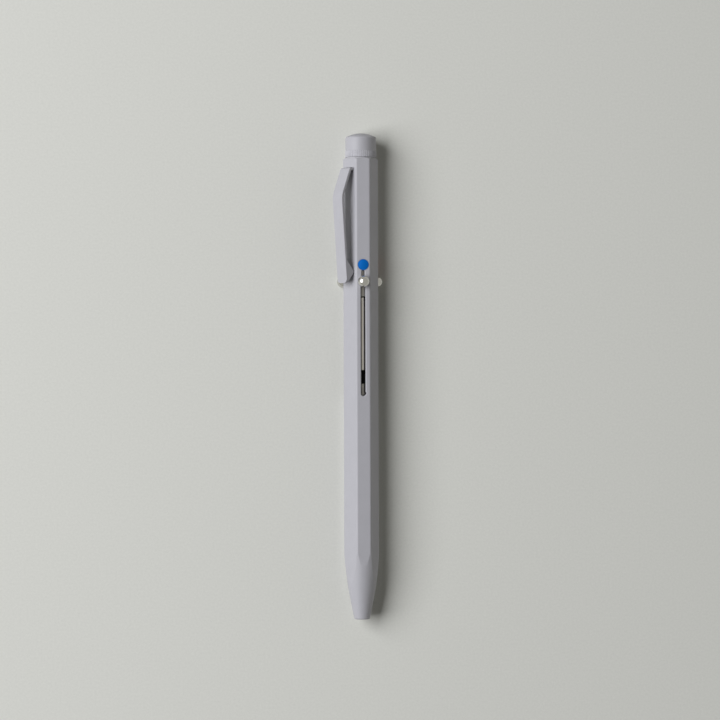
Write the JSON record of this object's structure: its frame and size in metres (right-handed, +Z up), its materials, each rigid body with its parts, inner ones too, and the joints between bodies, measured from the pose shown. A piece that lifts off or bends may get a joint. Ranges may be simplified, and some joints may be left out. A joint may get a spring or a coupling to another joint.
{
  "type": "multicolour ballpoint pen",
  "caption": "Slim faceted metal ballpoint pen with sliding ball buttons in slots, coloured dots, a one-piece clip and a knurled screw cap.",
  "frame": {"origin": "on the surface the pen lies on, under the middle of its bounding box", "axes": "+Y along the pen from the writing end to the cap, +Z up through the blue button's slot, +X to the right as seen from above with the cap away from the viewer"},
  "size_m": [0.0152, 0.14, 0.012],
  "materials": {
    "lacquer": "satin, fine-grained light grey lacquer",
    "polished_steel": "polished",
    "plain_steel": "turned, plain",
    "spring_wire": "drawn wire, plain",
    "refill_metal": "drawn tube, nickel-plated",
    "brass": "turned, plain",
    "black_acetal": "moulded, slightly glossy",
    "carriage_metal": "turned, dull nickel plate",
    "marker_blue": "matt paint on a low dome",
    "marker_red": "matt paint on a low dome",
    "marker_black": "matt paint on a low dome"
  },
  "bodies": {
    "barrel": {"barrel": "lacquer", "spring_plate": "brass", "stop_plug": "black_acetal", "threaded_bush": "brass", "marker_blue": "marker_blue", "marker_red": "marker_red", "marker_black": "marker_black"},
    "clip": {"clip": "lacquer"},
    "cap_washer": {"cap_washer": "lacquer"},
    "cap": {"cap": "lacquer"},
    "slider_blue": {"carriage_blue": "carriage_metal", "button_pin_blue": "plain_steel", "ball_blue": "polished_steel"},
    "refill_blue": {"refill_blue": "refill_metal", "spring_blue": "spring_wire"},
    "slider_red": {"carriage_red": "carriage_metal", "button_pin_red": "plain_steel", "ball_red": "polished_steel"},
    "refill_red": {"refill_red": "refill_metal", "spring_red": "spring_wire"},
    "slider_black": {"carriage_black": "carriage_metal", "button_pin_black": "plain_steel", "ball_black": "polished_steel"},
    "refill_black": {"refill_black": "refill_metal", "spring_black": "spring_wire"}
  },
  "joints": [
    {"name": "slide_blue", "type": "slide", "parent": "barrel", "child": "slider_blue", "axis": [0, -1, 0], "range_m": [0, 0.03215], "stiffness_N_per_m": 60, "springref_m": -0.012, "deforming": ["spring_blue", "refill_blue"]},
    {"name": "slide_red", "type": "slide", "parent": "barrel", "child": "slider_red", "axis": [0, -1, 0], "range_m": [0, 0.03215], "stiffness_N_per_m": 60, "springref_m": -0.012, "deforming": ["spring_red", "refill_red"]},
    {"name": "slide_black", "type": "slide", "parent": "barrel", "child": "slider_black", "axis": [0, -1, 0], "range_m": [0, 0.03215], "stiffness_N_per_m": 60, "springref_m": -0.012, "deforming": ["spring_black", "refill_black"]},
    {"name": "refill_lean_blue", "type": "hinge", "parent": "slider_blue", "child": "refill_blue", "pos_m": [0.0009, 0.0247, 0.00658], "axis": [1, 0, 0], "range_deg": [0, 1.78]},
    {"name": "refill_lean_red", "type": "hinge", "parent": "slider_red", "child": "refill_red", "pos_m": [0.00265, 0.0247, 0.00354], "axis": [-0.5, 0, -0.866], "range_deg": [0, 1.78]},
    {"name": "refill_lean_black", "type": "hinge", "parent": "slider_black", "child": "refill_black", "pos_m": [-0.00086, 0.0247, 0.00354], "axis": [-0.5, 0, 0.866], "range_deg": [0, 1.78]},
    {"name": "clip_flex", "type": "hinge", "parent": "barrel", "child": "clip", "pos_m": [-0.00248, 0.05955, 0.0065], "axis": [-0.5, 0, -0.866], "range_deg": [0, 3.5], "stiffness_Nm_per_rad": 0.9},
    {"name": "cap_rise", "type": "slide", "parent": "barrel", "child": "cap_washer", "axis": [0, 1, 0], "range_m": [0, 0.0045]},
    {"name": "cap_turn", "type": "hinge", "parent": "cap_washer", "child": "cap", "pos_m": [0.0009, 0.066, 0.00455], "axis": [0, 1, 0], "range_deg": [0, 2160]}
  ],
  "couplings": [
    {"joint": "refill_lean_blue", "follows": "slide_blue", "rad_per_m": 0.9678},
    {"joint": "refill_lean_red", "follows": "slide_red", "rad_per_m": 0.9678},
    {"joint": "refill_lean_black", "follows": "slide_black", "rad_per_m": 0.9678},
    {"joint": "cap_turn", "follows": "cap_rise", "rad_per_m": 8377.5}
  ]
}
